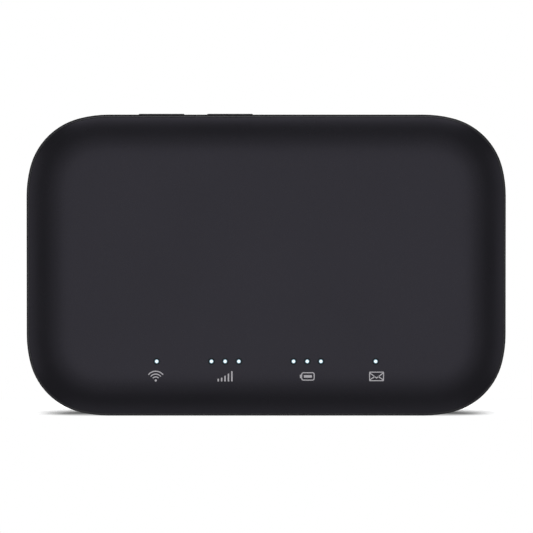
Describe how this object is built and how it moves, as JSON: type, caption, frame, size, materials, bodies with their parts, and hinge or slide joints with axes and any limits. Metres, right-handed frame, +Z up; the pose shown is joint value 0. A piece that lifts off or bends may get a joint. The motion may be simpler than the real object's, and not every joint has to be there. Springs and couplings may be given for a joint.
{
  "type": "mobile hotspot",
  "caption": "Pocket mobile hotspot: rounded slab with status lights, two edge keys, USB-C socket, lift-off back cover, removable battery and sliding SIM card.",
  "frame": {"origin": "middle of the object's box, at the plane the lower long edge stands on", "axes": "+X to the right as seen from the front, along the width; +Y from the front face to the back cover; +Z up, from the lower long edge to the edge with the keys"},
  "size_m": [0.107, 0.0148, 0.0674],
  "materials": {
    "shell": "fine textured soft-touch charcoal",
    "back_shell": "fine textured soft-touch charcoal",
    "black_plastic": "moulded black",
    "key": "smooth charcoal",
    "foam": "closed-cell foam",
    "battery_skin": "satin label film over a foil pouch",
    "gold": "gold flash",
    "circuit_board": "solder mask",
    "led": "moulded lens",
    "clear_plastic": "clear moulded acrylic",
    "steel": "stamped sheet",
    "screw_steel": "zinc-nickel plated",
    "chip": "moulded epoxy",
    "ceramic": "ceramic",
    "thermal_pad": "silicone",
    "graphite": "graphite film",
    "card": "plain card",
    "white_plastic": "moulded nylon"
  },
  "bodies": {
    "housing": {"front_cover": "shell", "rear_housing": "black_plastic", "battery_connector": "black_plastic", "battery_blades": "gold", "main_board": "circuit_board", "indicator_leds": "led", "light_baffle": "foam", "light_guide": "clear_plastic", "baseband_shield": "steel", "rf_shield": "steel", "wifi_shield": "steel", "charger_shield": "steel", "baseband_chip": "chip", "memory_chip": "chip", "power_chip": "chip", "rf_chips": "chip", "wifi_chip": "chip", "charger_chip": "chip", "inductors": "chip", "capacitors": "ceramic", "thermal_pads": "thermal_pad", "graphite_sheet": "graphite", "usb_shell": "steel", "usb_tongue": "black_plastic", "usb_contacts": "gold", "sim_base": "black_plastic", "sim_holder": "steel", "sim_contacts": "gold", "power_switch": "steel", "pairing_switch": "steel", "reset_switch": "steel", "antenna_carrier_left": "black_plastic", "antenna_carrier_right": "black_plastic", "antenna_foil_left": "gold", "antenna_foil_right": "gold", "wifi_carriers": "black_plastic", "wifi_foils": "gold", "antenna_springs": "gold", "housing_screws": "screw_steel", "board_screws": "screw_steel"},
    "back_cover": {"back_cover": "back_shell", "cover_foam": "foam"},
    "battery": {"battery_cell": "battery_skin", "battery_cap": "black_plastic", "battery_pads": "gold"},
    "sim_card": {"sim_card": "card", "sim_card_pads": "gold"},
    "power_key": {"power_key": "key", "power_plunger": "white_plastic"},
    "pairing_key": {"pairing_key": "key", "pairing_plunger": "white_plastic"},
    "reset_button": {"reset_button": "key", "reset_plunger": "white_plastic"}
  },
  "joints": [
    {"name": "back_cover_lift", "type": "slide", "parent": "housing", "child": "back_cover", "axis": [0, 1, 0], "range_m": [0, 0.03]},
    {"name": "battery_lift", "type": "slide", "parent": "housing", "child": "battery", "axis": [0, 1, 0], "range_m": [0, 0.015]},
    {"name": "sim_card_slide", "type": "slide", "parent": "housing", "child": "sim_card", "axis": [-1, 0, 0], "range_m": [0, 0.013]},
    {"name": "power_key_press", "type": "slide", "parent": "housing", "child": "power_key", "axis": [0, 0, -1], "range_m": [0, 0.00025], "stiffness_N_per_m": 1500, "springref_m": -0.0008},
    {"name": "pairing_key_press", "type": "slide", "parent": "housing", "child": "pairing_key", "axis": [0, 0, -1], "range_m": [0, 0.00025], "stiffness_N_per_m": 1500, "springref_m": -0.0008},
    {"name": "reset_press", "type": "slide", "parent": "housing", "child": "reset_button", "axis": [0, -1, 0], "range_m": [0, 0.00025], "stiffness_N_per_m": 1500, "springref_m": -0.0008}
  ],
  "couplings": [
    {"joint": "battery_lift", "follows": "back_cover_lift", "ratio": 0.5}
  ]
}
